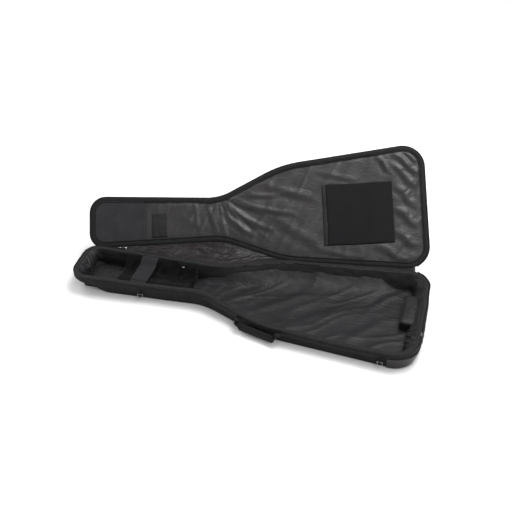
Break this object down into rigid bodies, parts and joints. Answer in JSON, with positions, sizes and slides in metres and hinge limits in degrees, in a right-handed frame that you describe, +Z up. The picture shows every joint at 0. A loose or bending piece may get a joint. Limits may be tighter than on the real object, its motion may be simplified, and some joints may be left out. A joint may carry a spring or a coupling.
{
  "type": "padded gig bag",
  "caption": "Padded soft case for an electric guitar, with a hinged zip-round lid, satin lining, neck rest with strap, end bumper, carry handle, rings and a lid pocket.",
  "frame": {"origin": "middle of the bag's length on its centreline, on the underside of the back", "axes": "+X from the head end to the body end, +Y to the hinge side, +Z up, out of the open bag"},
  "size_m": [1.0872, 0.6654, 0.3408],
  "materials": {
    "outer_fabric": "woven nylon, matt black",
    "foam": "foam padding, hidden inside the walls",
    "satin_lining": "satin nylon lining, brownish grey, soft sheen",
    "binding": "ribbed edge binding, greenish black",
    "zipper_tape": "woven zipper tape, black",
    "zipper_coil": "nylon coil, black",
    "plush": "black plush over foam",
    "webbing": "woven webbing, dark grey",
    "patch_fabric": "tough black synthetic patch",
    "guard": "smooth scuff guard, brownish black",
    "grip": "soft moulded grip, black",
    "metal": "nickel-plated metal",
    "pad_mesh": "padded mesh, black",
    "buckle_plastic": "moulded plastic, black"
  },
  "bodies": {
    "base": {"back_skin": "outer_fabric", "back_foam": "foam", "floor_lining": "satin_lining", "head_end_wall": "foam", "handle_side_wall": "foam", "body_end_wall": "foam", "hinge_side_wall": "foam", "wall_skin": "outer_fabric", "wall_lining": "satin_lining", "base_binding": "binding", "base_zipper_tape": "zipper_tape", "base_zipper_coil": "zipper_coil", "base_hinge_web": "satin_lining", "neck_rest": "plush", "neck_strap": "webbing", "neck_strap_root": "webbing", "neck_rest_snap": "metal", "end_bumper": "plush", "end_guard": "guard", "handle_anchors": "webbing", "head_ring_tab": "webbing", "body_ring_tab": "webbing", "shoulder_pad_handle_side": "pad_mesh", "shoulder_webbing_handle_side": "webbing", "shoulder_buckle_handle_side": "buckle_plastic", "shoulder_pad_hinge_side": "pad_mesh", "shoulder_webbing_hinge_side": "webbing", "shoulder_buckle_hinge_side": "buckle_plastic"},
    "lid": {"lid_binding": "binding", "lid_lining": "satin_lining", "lid_foam": "foam", "lid_skin": "outer_fabric", "lid_zipper_tape": "zipper_tape", "lid_zipper_coil": "zipper_coil", "lid_hinge_web": "satin_lining", "bridge_patch": "patch_fabric", "bridge_margin": "patch_fabric", "head_patch": "patch_fabric", "stitched_label": "patch_fabric", "grab_strap": "webbing", "pocket_panel": "outer_fabric", "pocket_piping": "binding", "pocket_zipper_tape": "zipper_tape", "pocket_zipper_coil": "zipper_coil"},
    "carry_handle": {"handle_webbing": "webbing", "handle_grip": "grip"},
    "pocket_slider": {"pocket_slider": "metal"},
    "pocket_pull": {"pocket_pull": "metal"},
    "head_slider": {"head_slider": "metal"},
    "head_pull": {"head_pull": "metal"},
    "body_slider": {"body_slider": "metal"},
    "body_pull": {"body_pull": "metal"},
    "head_ring": {"head_ring": "metal"},
    "body_ring": {"body_ring": "metal"},
    "neck_strap_flap": {"neck_strap_flap": "webbing"}
  },
  "joints": [
    {"name": "lid_hinge", "type": "hinge", "parent": "base", "child": "lid", "pos_m": [0.00384, 0.14159, 0.06246], "axis": [-0.9927, -0.1207, -0.0055], "range_deg": [-135.8, 44]},
    {"name": "head_slider_slide", "type": "slide", "parent": "base", "child": "head_slider", "axis": [1, -0.0095, -0.0004], "range_m": [-0.025, 0]},
    {"name": "head_pull_swing", "type": "hinge", "parent": "head_slider", "child": "head_pull", "pos_m": [-0.41392, 0.08994, 0.0627], "axis": [1, -0.0095, -0.0004], "range_deg": [-5, 18]},
    {"name": "body_slider_slide", "type": "slide", "parent": "base", "child": "body_slider", "axis": [0, -0.999, -0.0456], "range_m": [-0.21, 0.03]},
    {"name": "body_pull_swing", "type": "hinge", "parent": "body_slider", "child": "body_pull", "pos_m": [0.534, -0.08982, 0.05489], "axis": [0, -0.999, -0.0456], "range_deg": [-5, 150]},
    {"name": "head_ring_swing", "type": "hinge", "parent": "base", "child": "head_ring", "pos_m": [-0.30172, -0.07235, 0.023], "axis": [-0.998, -0.0628, 0], "range_deg": [-5, 140]},
    {"name": "body_ring_swing", "type": "hinge", "parent": "base", "child": "body_ring", "pos_m": [0.43154, -0.19165, 0.023], "axis": [-0.9946, 0.104, 0], "range_deg": [-5, 140]},
    {"name": "carry_handle_swing", "type": "hinge", "parent": "base", "child": "carry_handle", "pos_m": [0.07543, -0.15563, 0.036], "axis": [-0.9573, 0.2891, 0], "range_deg": [-5, 120]},
    {"name": "neck_strap_lift", "type": "hinge", "parent": "base", "child": "neck_strap_flap", "pos_m": [-0.32, -0.04485, 0.05265], "axis": [1, 0, 0], "range_deg": [0, 100]},
    {"name": "pocket_slider_slide", "type": "slide", "parent": "lid", "child": "pocket_slider", "axis": [-0.2059, 0.6595, 0.7229], "range_m": [0, 0.16]},
    {"name": "pocket_pull_swing", "type": "hinge", "parent": "pocket_slider", "child": "pocket_pull", "pos_m": [0.04305, 0.21942, 0.0862], "axis": [-0.2059, 0.6595, 0.7229], "range_deg": [-40, 40]}
  ]
}
